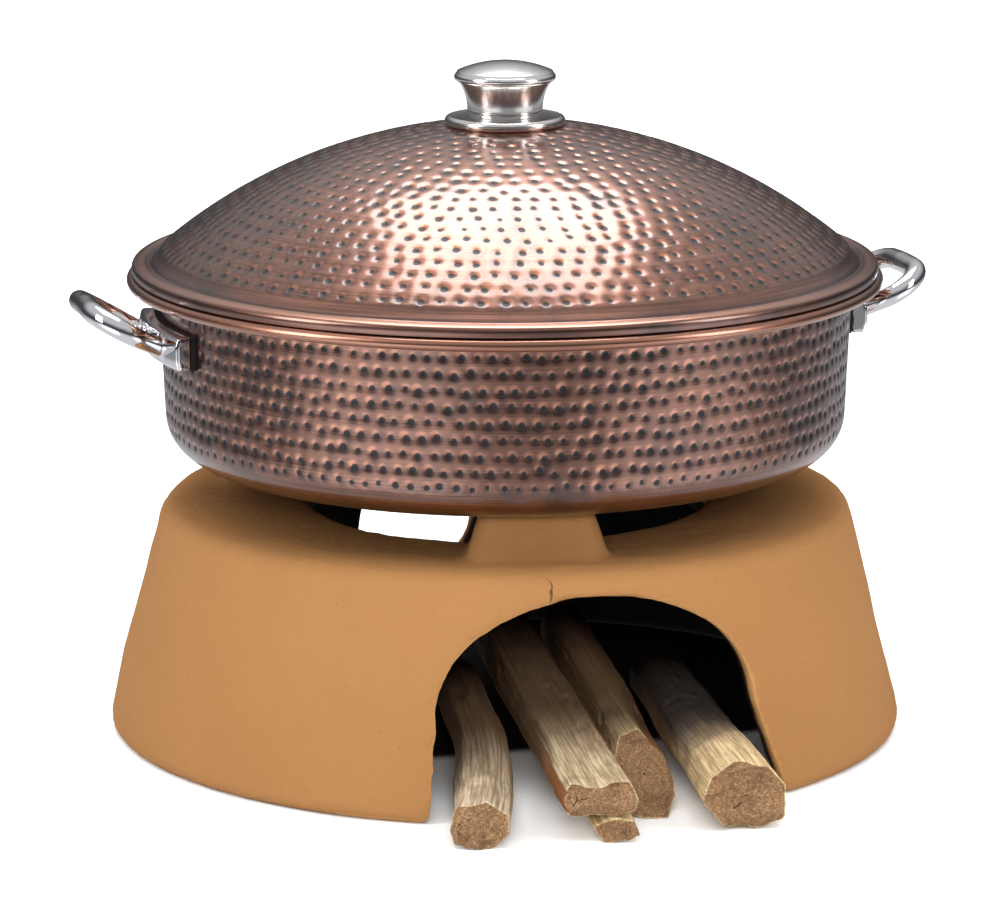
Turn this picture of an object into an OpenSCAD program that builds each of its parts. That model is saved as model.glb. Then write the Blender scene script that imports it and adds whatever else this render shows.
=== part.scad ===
// Hammered copper cooking pot with a domed lid, on a round clay wood stove.
// Millimetres. The stove's base ring stands on Z = 0 round the Z axis, the
// fire mouth opens towards -Y, and the two pot handles lie on -X and +X.

/* [Stove] */

// Outer diameter of the stove at the floor
stove_base_d = 396; // [360:1:440]
// Outer diameter that the sloping wall would reach at the top
stove_top_d = 340; // [320:1:360]
// Height of the flat top from the floor
stove_h = 113; // [110:1:140]
// Thickness of the clay wall and of the top
stove_wall = 16; // [12:0.5:24]
// Radius of the rounded shoulder
shoulder_r = 10; // [4:0.5:14]
// Radius of the rounded bottom edge
foot_edge_r = 4; // [1:0.5:6]
// Diameter of the round opening under the pot
fire_hole_d = 200; // [160:1:214]
// Diameter of the draught hole in the back wall
draught_d = 64; // [30:1:80]
// Height of the draught hole's centre
draught_z = 60; // [46:1:70]

/* [Fire mouth] */

// Width of the mouth at the floor
mouth_w = 175; // [140:1:200]
// Width of the mouth where the arch springs
mouth_spring_w = 162; // [130:1:170]
// Height of the springing line
mouth_spring_z = 44; // [40:1:50]
// How much further the arch's right side leans in than its left
mouth_lean = 9; // [0:0.5:12]
// Radius of the round corners of the arch
mouth_corner_r = 50; // [40:1:52]
// Clay left over the crown of the arch
mouth_bridge = 11; // [8:0.5:20]

/* [Pot lugs] */

// Height of the three lugs that carry the pot
lug_h = 23; // [15:0.5:30]
// Width of a lug where it leaves the top
lug_w = 72; // [40:1:80]
// Depth of a lug along the stove's radius
lug_depth = 40; // [30:1:46]
// Width of a lug's top as a share of its foot
lug_taper = 0.76; // [0.6:0.01:1]
// Turn of the first lug away from the mouth
lug_turn = -10; // [-20:1:20]

/* [Pot] */

// Outer diameter of the pot's wall under the rim
pot_d = 341; // [300:1:360]
// How much narrower the wall is at the bottom
pot_taper = 5; // [0:0.5:12]
// Height from the pot's bottom to its rim
pot_h = 85; // [70:1:120]
// Radius of the rounded bottom corner
pot_corner_r = 22; // [10:0.5:28]
// Thickness of the copper sheet
pot_t = 1.4; // [1:0.1:2.5]
// Width of the flat rim outside the wall
rim_w = 12.5; // [8:0.5:16]
// Thickness of the rolled bead round the rim
bead_d = 5.6; // [4:0.2:8]

/* [Lid] */

// Thickness of the lid's sheet
lid_t = 1.2; // [0.8:0.1:2]
// Height of the lid's upright skirt
skirt_h = 5.6; // [4:0.2:9]
// Radius of the skirt's rounded top edge
skirt_edge_r = 2.5; // [1.5:0.1:3]
// Width of the flat ring inside the skirt
lid_ring_w = 8.5; // [6:0.5:12]
// Width of the sloping band between ring and dome
lid_band_w = 6.5; // [4:0.5:10]
// Rise of the sloping band
lid_band_h = 6.4; // [3:0.2:9]
// Crown radius of the dome
dome_r = 264.5; // [220:0.5:340]
// Depth of the collar that centres the lid
collar_h = 12; // [6:0.5:20]
// Gap between the collar and the pot's wall
collar_gap = 1; // [0.4:0.1:3]
// Gap under the lid's skirt
lid_gap = 0.3; // [0.2:0.05:1]

/* [Knob] */

// Diameter of the knob's base flange
knob_base_d = 59; // [52:0.5:70]
// Thickness of the base flange over the dome's crown
knob_base_t = 3.4; // [2.5:0.1:6]
// Diameter of the collar under the neck
knob_collar_d = 36.2; // [32:0.2:42]
// Height of the collar
knob_collar_h = 3; // [2:0.1:6]
// Height of the waisted neck
knob_neck_h = 13.6; // [11:0.1:20]
// Diameter of the neck's narrow end
knob_waist_d = 37; // [34:0.2:40]
// Radius of the neck's hollow side
knob_waist_r = 24; // [20:0.5:30]
// Diameter of the cap
knob_cap_d = 49.8; // [47:0.2:58]
// Thickness of the cap at its middle
knob_cap_h = 10; // [8:0.2:14]
// Radius of the cap's rim
knob_cap_edge_r = 2.2; // [1.5:0.1:3]

/* [Handles] */

// Height of the handle plates above the pot's bottom
handle_rise = 64.5; // [45:0.5:66]
// Height of a handle's plate
plate_h = 16.5; // [14:0.5:20]
// Thickness of a handle's plate
plate_t = 7; // [6:0.5:9]
// Angle that a plate covers round the pot
plate_angle = 27; // [25:1:40]
// Thickness of the heat gasket behind a plate
gasket_t = 1.6; // [1:0.1:3]
// Thickness of the loop's arms
loop_arm_d = 7.4; // [6:0.2:8]
// Thickness of the loop's corners
loop_d = 8.6; // [8.2:0.2:9]
// Thickness of the loop's grip
grip_d = 9.6; // [9.4:0.2:12]
// Distance between the roots of the loop
loop_root_w = 44; // [36:1:50]
// Tilt of the loop above level
loop_tilt = 30; // [20:1:40]
// Spread of each arm
loop_spread = 28; // [15:1:35]
// Straight length of each arm
loop_arm = 14; // [10:0.5:20]
// Radius of the loop's corners
loop_corner_r = 17; // [14:0.5:20]

/* [Fasteners] */

// Diameter of the screw shanks
screw_d = 4.8; // [4:0.1:6]
// Diameter of the screw heads
screw_head_d = 9; // [8:0.5:11]
// Thickness of the screw heads
screw_head_h = 2.8; // [2:0.1:4]
// Angle between the two screws of a handle
screw_angle = 20; // [16:1:22]
// Outer diameter of the washers
washer_d = 12; // [11:0.5:14]
// Thickness of the washers
washer_t = 1.2; // [0.8:0.1:2]
// Clearance of the screw holes
hole_clear = 0.2; // [0.1:0.05:0.5]

/* [Firewood] */

// Length of the slab and of the small split
log_l = 290; // [240:1:300]
// Length of the middle log
middle_l = 260; // [200:1:270]
// Length of the thick log
thick_l = 215; // [180:1:230]
// Length of the round stick on the left
stick_l = 250; // [200:1:270]
// Angle that the stick bends through
stick_bend = 16; // [8:1:20]
// Thickness of the round stick on the left
stick_d = 25; // [18:0.5:28]
// Width of the broad slab
slab_w = 33; // [26:0.5:36]
// Thickness of the broad slab
slab_t = 15; // [10:0.5:20]
// Thickness of the middle log
middle_d = 28; // [22:0.5:30]
// Width of the thick log on the right
thick_w = 36; // [28:0.5:38]
// Height of the thick log on the right
thick_h = 32; // [24:0.5:38]
// Width of the small split under the slab
split_w = 20; // [14:0.5:22]
// Height of the small split
split_h = 13; // [8:0.5:16]

/* [Hidden] */

$fn = 120;

// Faces that cut past a surface do so by this much
cut = 1;
// Stretches that run on into each other share this much
lap = 2;
// Flat and curved faces of pieces in one assembly lie this far apart
seat_gap = 0.1;
// Pieces that move past each other keep this gap
rest_gap = 0.3;
// Screw tips and washers stand this far back from the faces they serve
screw_back = 1;

stove_r = stove_base_d / 2;
stove_top_r = stove_top_d / 2;
wall_slope = (stove_r - stove_top_r) / stove_h;
mouth_top_z = stove_h - mouth_bridge;
spring_x = (mouth_spring_w - mouth_lean) / 2 - mouth_corner_r;
crown_rise = mouth_top_z - mouth_spring_z;
crown_r = (spring_x * spring_x + crown_rise * crown_rise - mouth_corner_r * mouth_corner_r)
    / (2 * (crown_rise - mouth_corner_r));
crown_z = mouth_top_z - crown_r;
crown_tangent_x = crown_r * spring_x / (crown_r - mouth_corner_r);
// Flat left between the fire hole and a lug
lug_land = 3;
lug_r = fire_hole_d / 2 + lug_land + lug_depth / 2;
lug_sink = 3;
lug_chamfer = 6;

pot_z = stove_h + lug_h;
pot_r = pot_d / 2;
pot_low_r = pot_r - pot_taper / 2;
pot_wall_z = pot_z + pot_corner_r;
rim_z = pot_z + pot_h;
bead_r = pot_r + rim_w;
bead_top_z = rim_z + bead_d;

lid_z = bead_top_z + lid_gap;
// The skirt's outer face stands this far outside the middle of the bead
skirt_out = 0.3;
lid_r = bead_r + skirt_out;
ring_z = lid_z + skirt_h;
ring_in_r = lid_r - lid_ring_w;
foot_r = ring_in_r - lid_band_w;
foot_z = ring_z + lid_band_h;
dome_z = foot_z - sqrt(dome_r * dome_r - foot_r * foot_r);
crown_top_z = dome_z + dome_r;
collar_r = pot_low_r - pot_t - collar_gap;
collar_reach = lid_r - skirt_edge_r - collar_r;
collar_lip_z = ring_z - 2 * lid_t - seat_gap;

// The base flange's rim hangs this far below the dome's crown
flange_drop = 1.6;
flange_edge_r = (knob_base_t + flange_drop) / 2;
base_top_z = crown_top_z + knob_base_t;
neck_z = base_top_z + knob_collar_h + seat_gap;
cap_z = neck_z + knob_neck_h;
cap_r = knob_cap_d / 2;
cap_dome_h = knob_cap_h - 2 * knob_cap_edge_r;
cap_dome_r = (cap_r * cap_r + cap_dome_h * cap_dome_h) / (2 * cap_dome_h);

handle_z = pot_z + handle_rise;
plate_in_r = pot_r + gasket_t;
plate_low_z = handle_z - plate_h / 2;
plate_top_z = handle_z + plate_h / 2;
loop_root_r = plate_in_r + plate_t - lap;
// The loop grows into a ball this much thicker where it meets the plate
ball_extra = 4.6;
ball_d = loop_arm_d + ball_extra;

screw_seat_r = pot_low_r - pot_t - screw_back;
screw_tip_r = plate_in_r + plate_t - 2 * screw_back;
knob_screw_low_z = crown_top_z - lid_t - screw_back;
knob_screw_tip_z = cap_z - 3 * screw_back;

slab_low_z = split_h + rest_gap;
// Front ends of the logs on the floor, and the way each one points
stick_front = [-76, -216];
stick_heading = 12.75;
stick_bend_r = stick_l / (stick_bend * PI / 180);
slab_front = [-22, -225];
slab_heading = 7.5;
middle_front = [14.5, -190];
middle_heading = 8;
thick_front = [50.5, -222];
thick_heading = 7.5;
split_front = [-16, -226];
split_heading = 7.5;
// The slanting cut over the middle log leaves the floor here, at this angle
middle_cut_z = 2;
middle_cut = 26;
// Corners of the split logs, as shares of the width from the middle and of the height
slab_corners = [[-0.5, 0.6], [-0.38, 0], [0.44, 0], [0.5, 0.7], [0.35, 1], [-0.35, 1]];
thick_corners = [
    [-0.5, 0.35], [-0.33, 0], [0.22, 0], [0.5, 0.3], [0.42, 0.8], [0.11, 1], [-0.28, 0.95]];
split_corners = [[-0.5, 0.4], [-0.4, 0], [0.45, 0], [0.5, 0.6], [0.3, 1], [-0.3, 1]];

// Radius of the pot's wall outside, at a height
function wall_r(z) = pot_low_r + (pot_r - pot_low_r) * (z - pot_wall_z) / (rim_z - pot_wall_z);

// ---- stove ----

module stove_side() {
    polygon([
        [0, foot_edge_r], [stove_r - wall_slope * foot_edge_r, foot_edge_r],
        [stove_r - wall_slope * (stove_h - shoulder_r), stove_h - shoulder_r],
        [0, stove_h - shoulder_r]]);
}

module stove_outline() {
    foot_x = stove_r - wall_slope * foot_edge_r - foot_edge_r;
    shoulder_x = stove_r - wall_slope * (stove_h - shoulder_r) - shoulder_r;
    stove_side();
    square([foot_x, 2 * foot_edge_r]);
    square([shoulder_x, stove_h]);
    translate([foot_x, foot_edge_r]) circle(r = foot_edge_r);
    translate([shoulder_x, stove_h - shoulder_r]) circle(r = shoulder_r);
}

module stove_cavity() {
    roof_z = stove_h - stove_wall;
    polygon([
        [0, -cut], [stove_r - stove_wall + wall_slope * cut, -cut],
        [stove_r - stove_wall - wall_slope * roof_z, roof_z], [0, roof_z]]);
    square([fire_hole_d / 2, stove_h + cut]);
}

module mouth_outline() {
    polygon([
        [-mouth_w / 2, -cut], [mouth_w / 2, -cut],
        [mouth_spring_w / 2 - mouth_lean, mouth_spring_z], [-mouth_spring_w / 2, mouth_spring_z]]);
    translate([-mouth_lean / 2, mouth_spring_z]) {
        for (side = [-1, 1]) translate([side * spring_x, 0]) circle(r = mouth_corner_r);
        intersection() {
            translate([0, crown_z - mouth_spring_z]) circle(r = crown_r, $fn = 360);
            translate([-crown_tangent_x, 0]) square([2 * crown_tangent_x, crown_rise + cut]);
        }
    }
}

module lug() {
    translate([0, -lug_r, stove_h - lug_sink])
        linear_extrude(height = lug_h - rest_gap + lug_sink, scale = [lug_taper, lug_taper])
            polygon([
                [-lug_w / 2, -lug_depth / 2 + lug_chamfer],
                [-lug_w / 2 + lug_chamfer, -lug_depth / 2],
                [lug_w / 2 - lug_chamfer, -lug_depth / 2],
                [lug_w / 2, -lug_depth / 2 + lug_chamfer],
                [lug_w / 2 - lug_chamfer, lug_depth / 2],
                [-lug_w / 2 + lug_chamfer, lug_depth / 2]]);
}

module stove_body() color("peru") {
    difference() {
        rotate_extrude($fn = 240) difference() {
            stove_outline();
            stove_cavity();
        }
        rotate([90, 0, 0]) linear_extrude(height = stove_base_d) mouth_outline();
        translate([0, 0, draught_z]) rotate([-90, 0, 0])
            cylinder(h = stove_base_d, d = draught_d);
    }
    for (turn = [0, 120, 240]) rotate(lug_turn + turn) lug();
}

// ---- firewood ----

// Lays a log's front end at a point, with the log running back from it
module lay(front, heading) {
    translate([front[0], front[1], 0]) rotate(-heading) rotate([-90, 0, 0]) children();
}

module log_stick() color("tan") {
    translate([stick_front[0], stick_front[1], stick_d / 2])
        rotate(-stick_heading - stick_bend / 2) translate([-stick_bend_r, 0, 0])
            rotate_extrude(angle = stick_bend, $fn = 720)
                translate([stick_bend_r, 0]) circle(d = stick_d, $fn = 48);
}

// A split log with straight sides, lifted off the floor by low_z
module split_log(front, heading, low_z, l, w, h, corners) {
    lay(front, heading) linear_extrude(height = l) translate([0, -low_z])
        polygon([for (corner = corners) [corner[0] * w, -corner[1] * h]]);
}

module log_slab() color("burlywood")
    split_log(slab_front, slab_heading, slab_low_z, log_l, slab_w, slab_t, slab_corners);

module log_middle() color("burlywood") {
    difference() {
        lay(middle_front, middle_heading) linear_extrude(height = middle_l)
            translate([0, -middle_d / 2]) circle(d = middle_d, $fn = 12);
        translate([middle_front[0], middle_front[1], middle_cut_z])
            rotate([middle_cut, 0, -middle_heading])
                translate([-middle_d, -middle_l, -middle_d])
                    cube([2 * middle_d, middle_l, 4 * middle_d]);
    }
}

module log_thick() color("tan")
    split_log(thick_front, thick_heading, 0, thick_l, thick_w, thick_h, thick_corners);

module log_split() color("burlywood")
    split_log(split_front, split_heading, 0, log_l, split_w, split_h, split_corners);

// ---- pot ----

module pot_outline() {
    translate([0, pot_z]) square([pot_low_r - pot_corner_r, pot_t]);
    intersection() {
        translate([pot_low_r - pot_corner_r, pot_wall_z]) difference() {
            circle(r = pot_corner_r);
            circle(r = pot_corner_r - pot_t);
        }
        translate([pot_low_r - pot_corner_r, pot_z]) square([pot_corner_r, pot_corner_r]);
    }
    polygon([
        [pot_low_r - pot_t, pot_wall_z], [pot_low_r, pot_wall_z],
        [pot_r, rim_z], [pot_r - pot_t, rim_z]]);
    translate([pot_r - pot_t, rim_z]) square([rim_w + pot_t, pot_t]);
    translate([bead_r, rim_z + bead_d / 2]) circle(d = bead_d, $fn = 48);
}

// Puts a child at each handle screw, with its axis pointing out of the pot
module at_handle_screws(sides) {
    for (side = sides, turn = [-0.5, 0.5])
        rotate(side + turn * screw_angle) translate([0, 0, handle_z]) rotate([0, 90, 0]) children();
}

module screw_holes(sides, from_r, to_r) {
    at_handle_screws(sides)
        translate([0, 0, from_r]) cylinder(h = to_r - from_r, d = screw_d + 2 * hole_clear, $fn = 32);
}

module pot_shell() color("sienna") {
    difference() {
        rotate_extrude($fn = 240) pot_outline();
        screw_holes([0, 180], pot_low_r - pot_t - cut, pot_r + cut);
    }
}

// ---- handles, drawn on +X ----

module loop_side() {
    rotate([0, 0, loop_spread]) rotate([0, 90, 0])
        cylinder(h = loop_arm + lap, d = loop_arm_d, $fn = 48);
    translate([
        loop_arm * cos(loop_spread) + loop_corner_r * sin(loop_spread),
        loop_arm * sin(loop_spread) - loop_corner_r * cos(loop_spread), 0])
        rotate_extrude(angle = 90 + loop_spread, $fn = 96)
            translate([loop_corner_r, 0]) circle(d = loop_d, $fn = 48);
}

module handle_loop() {
    grip_half = loop_root_w / 2 + loop_arm * sin(loop_spread) - loop_corner_r * cos(loop_spread);
    grip_x = loop_arm * cos(loop_spread) + loop_corner_r * (1 + sin(loop_spread));
    translate([loop_root_r, 0, handle_z]) rotate([0, -loop_tilt, 0]) {
        for (side = [0, 1]) mirror([0, side, 0])
            translate([0, loop_root_w / 2, 0]) {
                loop_side();
                sphere(d = ball_d, $fn = 48);
            }
        translate([grip_x, grip_half + lap, 0]) rotate([90, 0, 0])
            cylinder(h = 2 * (grip_half + lap), d = grip_d, $fn = 48);
    }
}

module handle() {
    difference() {
        union() {
            rotate(-plate_angle / 2) rotate_extrude(angle = plate_angle, $fn = 240)
                translate([plate_in_r, plate_low_z]) square([plate_t, plate_h]);
            difference() {
                handle_loop();
                cylinder(h = handle_z * 2, r = plate_in_r + lap / 2);
            }
        }
        screw_holes([0], plate_in_r - cut, screw_tip_r + seat_gap);
    }
}

module gasket() {
    difference() {
        rotate(-plate_angle / 2) rotate_extrude(angle = plate_angle, $fn = 240)
            polygon([
                [wall_r(plate_low_z), plate_low_z], [plate_in_r, plate_low_z],
                [plate_in_r, plate_top_z], [wall_r(plate_top_z), plate_top_z]]);
        screw_holes([0], pot_low_r - cut, plate_in_r + cut);
    }
}

module right_handle() color("silver") handle();

module left_handle() color("silver") rotate(180) handle();

module right_gasket() color("dimgray") gasket();

module left_gasket() color("dimgray") rotate(180) gasket();

// A pan-head screw standing on Z = 0, with its head below and a cross in it
module screw(l) {
    slot_w = 1.2;
    difference() {
        union() {
            cylinder(h = l, d = screw_d, $fn = 32);
            translate([0, 0, -screw_head_h]) cylinder(h = screw_head_h, d = screw_head_d, $fn = 32);
        }
        for (turn = [0, 90])
            rotate(turn) translate([-screw_head_d / 3, -slot_w / 2, -screw_head_h - cut])
                cube([screw_head_d * 2 / 3, slot_w, cut + screw_head_h / 2]);
    }
}

module washer() {
    difference() {
        cylinder(h = washer_t, d = washer_d, $fn = 48);
        translate([0, 0, -cut])
            cylinder(h = washer_t + 2 * cut, d = screw_d + 2 * hole_clear, $fn = 32);
    }
}

module handle_screws() color("gainsboro") {
    at_handle_screws([0, 180]) translate([0, 0, screw_seat_r - washer_t - seat_gap])
        screw(screw_tip_r - screw_seat_r + washer_t);
}

module handle_washers() color("gainsboro") {
    at_handle_screws([0, 180]) translate([0, 0, screw_seat_r - washer_t]) washer();
}

// ---- lid ----

// The lid's ring and skirt, filled in to the axis and drawn in by a distance
module lid_rim(inset) {
    edge_x = lid_r - skirt_edge_r;
    edge_z = ring_z - skirt_edge_r;
    translate([0, lid_z - cut]) square([edge_x, skirt_h + cut - inset]);
    translate([0, lid_z - cut]) square([lid_r - inset, skirt_h + cut - skirt_edge_r]);
    translate([edge_x, edge_z]) circle(r = skirt_edge_r - inset, $fn = 48);
}

// The lid above the ring, filled in to the axis and drawn in by a distance
module lid_crown(inset) {
    intersection() {
        translate([0, dome_z]) circle(r = dome_r - inset, $fn = 720);
        translate([0, lid_z]) square([foot_r - inset / 2, 2 * dome_r]);
    }
    polygon([
        [0, lid_z], [ring_in_r - inset / 2, lid_z], [ring_in_r - inset / 2, ring_z - inset],
        [foot_r - inset / 2, foot_z - inset], [0, foot_z - inset]]);
}

module lid_outline() {
    difference() {
        union() {
            lid_rim(0);
            lid_crown(0);
        }
        lid_rim(lid_t);
        lid_crown(lid_t);
        square([dome_r, lid_z]);
    }
}

module lid_shell() color("sienna") {
    difference() {
        rotate_extrude($fn = 240) lid_outline();
        translate([0, 0, crown_top_z - lid_t - cut])
            cylinder(h = lid_t + 2 * cut, d = screw_d + 2 * hole_clear, $fn = 32);
    }
}

// The collar stands in the pot's mouth and is turned out under the lid's ring
module lid_collar() color("sienna") {
    low_z = rim_z - collar_h + rest_gap;
    rotate_extrude($fn = 240) {
        translate([collar_r - lid_t, low_z]) square([lid_t, collar_lip_z + lid_t - low_z]);
        translate([collar_r - lid_t, collar_lip_z]) square([collar_reach, lid_t]);
    }
}

// ---- knob ----

module knob_base() color("gainsboro") {
    rim_x = knob_base_d / 2 - flange_edge_r;
    low_z = base_top_z - 2 * flange_edge_r;
    difference() {
        rotate_extrude($fn = 96) {
            translate([0, low_z]) square([rim_x, 2 * flange_edge_r]);
            translate([rim_x, low_z + flange_edge_r]) circle(r = flange_edge_r, $fn = 48);
        }
        rotate_extrude($fn = 96) intersection() {
            translate([0, dome_z]) circle(r = dome_r + seat_gap, $fn = 720);
            translate([0, dome_z]) square([knob_base_d, 2 * dome_r]);
        }
        knob_bore();
    }
}

// The hole that the knob's screw goes through or into
module knob_bore() {
    translate([0, 0, knob_screw_low_z - cut])
        cylinder(h = knob_screw_tip_z + seat_gap + cut - knob_screw_low_z,
            d = screw_d + 2 * hole_clear, $fn = 32);
}

module knob_collar() color("gainsboro") {
    difference() {
        translate([0, 0, base_top_z]) cylinder(h = knob_collar_h, d = knob_collar_d, $fn = 96);
        knob_bore();
    }
}

module knob_neck() color("gainsboro") {
    difference() {
        rotate_extrude($fn = 96) difference() {
            translate([0, neck_z]) square([knob_cap_d / 2 - knob_cap_edge_r, knob_neck_h]);
            translate([knob_waist_d / 2 + knob_waist_r, neck_z]) circle(r = knob_waist_r, $fn = 120);
        }
        knob_bore();
    }
}

module knob_cap() color("gainsboro") {
    rotate_extrude($fn = 96) {
        translate([0, cap_z]) square([cap_r - knob_cap_edge_r, 2 * knob_cap_edge_r]);
        translate([cap_r - knob_cap_edge_r, cap_z + knob_cap_edge_r])
            circle(r = knob_cap_edge_r, $fn = 48);
        intersection() {
            translate([0, cap_z + knob_cap_h - cap_dome_r]) circle(r = cap_dome_r, $fn = 240);
            translate([0, cap_z + knob_cap_edge_r]) square([cap_r - knob_cap_edge_r / 2, knob_cap_h]);
        }
    }
}

module knob_screw() color("gainsboro") {
    translate([0, 0, knob_screw_low_z - washer_t - seat_gap])
        screw(knob_screw_tip_z - knob_screw_low_z + washer_t);
}

module knob_washer() color("gainsboro") {
    translate([0, 0, knob_screw_low_z - washer_t]) washer();
}

stove_body();
log_stick();
log_slab();
log_middle();
log_thick();
log_split();
pot_shell();
left_handle();
right_handle();
left_gasket();
right_gasket();
handle_screws();
handle_washers();
lid_shell();
lid_collar();
knob_base();
knob_collar();
knob_neck();
knob_cap();
knob_screw();
knob_washer();
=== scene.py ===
import math

import bpy
import numpy as np
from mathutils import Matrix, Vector


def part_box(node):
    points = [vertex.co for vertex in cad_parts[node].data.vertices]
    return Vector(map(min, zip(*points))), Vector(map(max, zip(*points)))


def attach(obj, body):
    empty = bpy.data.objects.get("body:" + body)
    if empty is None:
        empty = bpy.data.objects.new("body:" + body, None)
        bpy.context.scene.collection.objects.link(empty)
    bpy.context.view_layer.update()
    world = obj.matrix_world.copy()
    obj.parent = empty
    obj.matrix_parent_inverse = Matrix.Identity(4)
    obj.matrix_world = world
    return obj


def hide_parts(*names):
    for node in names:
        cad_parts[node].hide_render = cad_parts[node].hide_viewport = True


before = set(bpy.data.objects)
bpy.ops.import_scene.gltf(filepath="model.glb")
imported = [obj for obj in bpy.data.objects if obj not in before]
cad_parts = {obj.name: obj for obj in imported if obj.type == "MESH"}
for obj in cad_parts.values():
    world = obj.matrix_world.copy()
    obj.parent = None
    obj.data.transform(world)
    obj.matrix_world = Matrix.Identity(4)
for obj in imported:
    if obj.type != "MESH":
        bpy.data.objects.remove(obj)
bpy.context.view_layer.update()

MM = 0.001
TURN = 2 * math.pi
random = np.random.default_rng(7)

# ---- sizes taken from the frame ----

pot_low, pot_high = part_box("pot_shell")
lid_low, lid_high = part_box("lid_shell")
stove_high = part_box("stove_body")[1]

# ---- where the camera stands, seen from the pot's axis ----

CAMERA_AZIMUTH = math.radians(-16.4)
CAMERA_DISTANCE = 2.2
CAMERA_HEIGHT = 0.624
CAMERA_PITCH = math.radians(12.68)
CAMERA_LENS = 163.3
CAMERA_SHIFT = -0.005

# ---- hammer marks ----

MARK_PIT = 0.50 * MM
MARK_PIT_R = 1.35 * MM
WALL_DISH = 0.22 * MM
LID_DISH = 0.32 * MM
MARK_DISH_R = 3.0 * MM
MARK_REACH = 8 * MM
MARK_SLIP = 0.55 * MM
MARK_SIZES = (0.82, 1.22)
FEWEST_MARKS = 6
RING_STAGGER = 37
FULL_DEPTH = 0.6 * MM
PLAIN_RIDGE = 0.35


# ---------------------------------------------------------------- meshes


def arc(centre, radius, start, end, count):
    """Points on an arc in the outline plane; the angles are in degrees."""
    a = np.radians(np.linspace(start, end, count))
    return np.stack([centre[0] + radius * np.cos(a), centre[1] + radius * np.sin(a)], 1)


def outline(*stretches):
    """One line of points from several stretches, without doubled points."""
    points = np.concatenate([np.atleast_2d(np.array(s, float)) for s in stretches])
    step = np.linalg.norm(np.diff(points, axis=0), axis=1)
    return points[np.r_[True, step > 0.01 * MM]]


def respace(points, spacing):
    """The same line with its points evenly spaced."""
    s = np.r_[0, np.cumsum(np.linalg.norm(np.diff(points, axis=0), axis=1))]
    even = np.linspace(0, s[-1], max(2, round(s[-1] / spacing) + 1))
    return np.stack([np.interp(even, s, points[:, k]) for k in range(points.shape[1])], 1)


def run_of(points):
    """The distance along a line at each of its points."""
    return np.r_[0, np.cumsum(np.linalg.norm(np.diff(points, axis=0), axis=1))]


def grid_faces(rows, cols):
    """The quads of a grid of points, closed round its columns."""
    i, j = [a.ravel() for a in np.meshgrid(np.arange(rows - 1), np.arange(cols), indexing="ij")]
    here, there = i * cols, (i + 1) * cols
    return np.stack([here + j, here + (j + 1) % cols, there + (j + 1) % cols, there + j], 1)


def mesh_object(name, points, faces, smooth=True):
    """A new object in the scene from an array of points and a list of faces."""
    mesh = bpy.data.meshes.new(name)
    mesh.from_pydata(np.asarray(points).tolist(), [], [list(map(int, f)) for f in faces])
    mesh.update()
    mesh.polygons.foreach_set("use_smooth", [smooth] * len(mesh.polygons))
    made = bpy.data.objects.new(name, mesh)
    bpy.context.scene.collection.objects.link(made)
    return made


def set_attribute(made, name, values):
    """Stores one number per vertex for the materials to read."""
    layer = made.data.attributes.new(name, "FLOAT", "POINT")
    layer.data.foreach_set("value", np.asarray(values, np.float32).ravel())


def normals_of(line):
    """Unit normals of an outline, to the right of the way it runs."""
    t = np.gradient(line, axis=0)
    t /= np.linalg.norm(t, axis=1)[:, None] + 1e-12
    return np.stack([t[:, 1], -t[:, 0]], 1)


def lathe(name, line, cols, lift=None):
    """A surface of revolution, with every point moved along its normal by lift."""
    angle = np.arange(cols) * TURN / cols
    line = np.asarray(line, float)
    r = np.repeat(line[:, 0][:, None], cols, 1)
    z = np.repeat(line[:, 1][:, None], cols, 1)
    if lift is not None:
        n = normals_of(line)
        r = r + n[:, 0][:, None] * lift
        z = z + n[:, 1][:, None] * lift
    points = np.stack([r * np.cos(angle), r * np.sin(angle), z], 2).reshape(-1, 3)
    made = mesh_object(name, points, grid_faces(len(line), cols))
    set_attribute(made, "run", np.repeat(run_of(line), cols))
    return made


def hammer(line, cols, marks, dish_depth):
    """Hammer marks on a lathe's grid: distance to the nearest, depth, and lean up the slope."""
    run, radius, step = run_of(line), line[:, 0], TURN / cols
    near = np.full((len(line), cols), MARK_REACH)
    depth, lean = np.zeros((len(line), cols)), np.zeros((len(line), cols))
    for along, angle, size in marks:
        rows = np.flatnonzero(np.abs(run - along) < MARK_REACH)
        if not len(rows):
            continue
        half = int(MARK_REACH / (max(radius[rows].mean(), 5 * MM) * step)) + 1
        first = round(angle / step)
        picked = np.arange(first - half, first + half + 1)
        across = (picked * step - angle)[None, :] * radius[rows][:, None]
        d = np.hypot((run[rows] - along)[:, None], across) / size
        block = np.ix_(rows, picked % cols)
        near[block] = np.minimum(near[block], d)
        pit = MARK_PIT * np.exp(-((d / MARK_PIT_R) ** 2))
        dish = dish_depth * np.exp(-((d / MARK_DISH_R) ** 2))
        depth[block] += size * (pit + dish)
        # The lean tips up and to the left; the copper paints a highlight on its high side and shade
        # on its low side
        slope = (run[rows] - along)[:, None] - 0.5 * across * size
        lean[block] += slope / MARK_DISH_R * np.exp(-((d / MARK_DISH_R) ** 2)) * 2
    return near, depth, lean


def mark_rows(starts, radius_at, spacing, shake):
    """Hammer marks in rings: (distance along the outline, angle, size) of each."""
    marks = []
    for along in starts:
        count = max(FEWEST_MARKS, round(TURN * radius_at(along) / spacing))
        for k in range(count):
            turn = (k + random.uniform(-shake, shake)) / count + along * RING_STAGGER
            slip = random.normal(0, MARK_SLIP)
            marks.append((along + slip, (turn % 1) * TURN, random.uniform(*MARK_SIZES)))
    return marks


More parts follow.
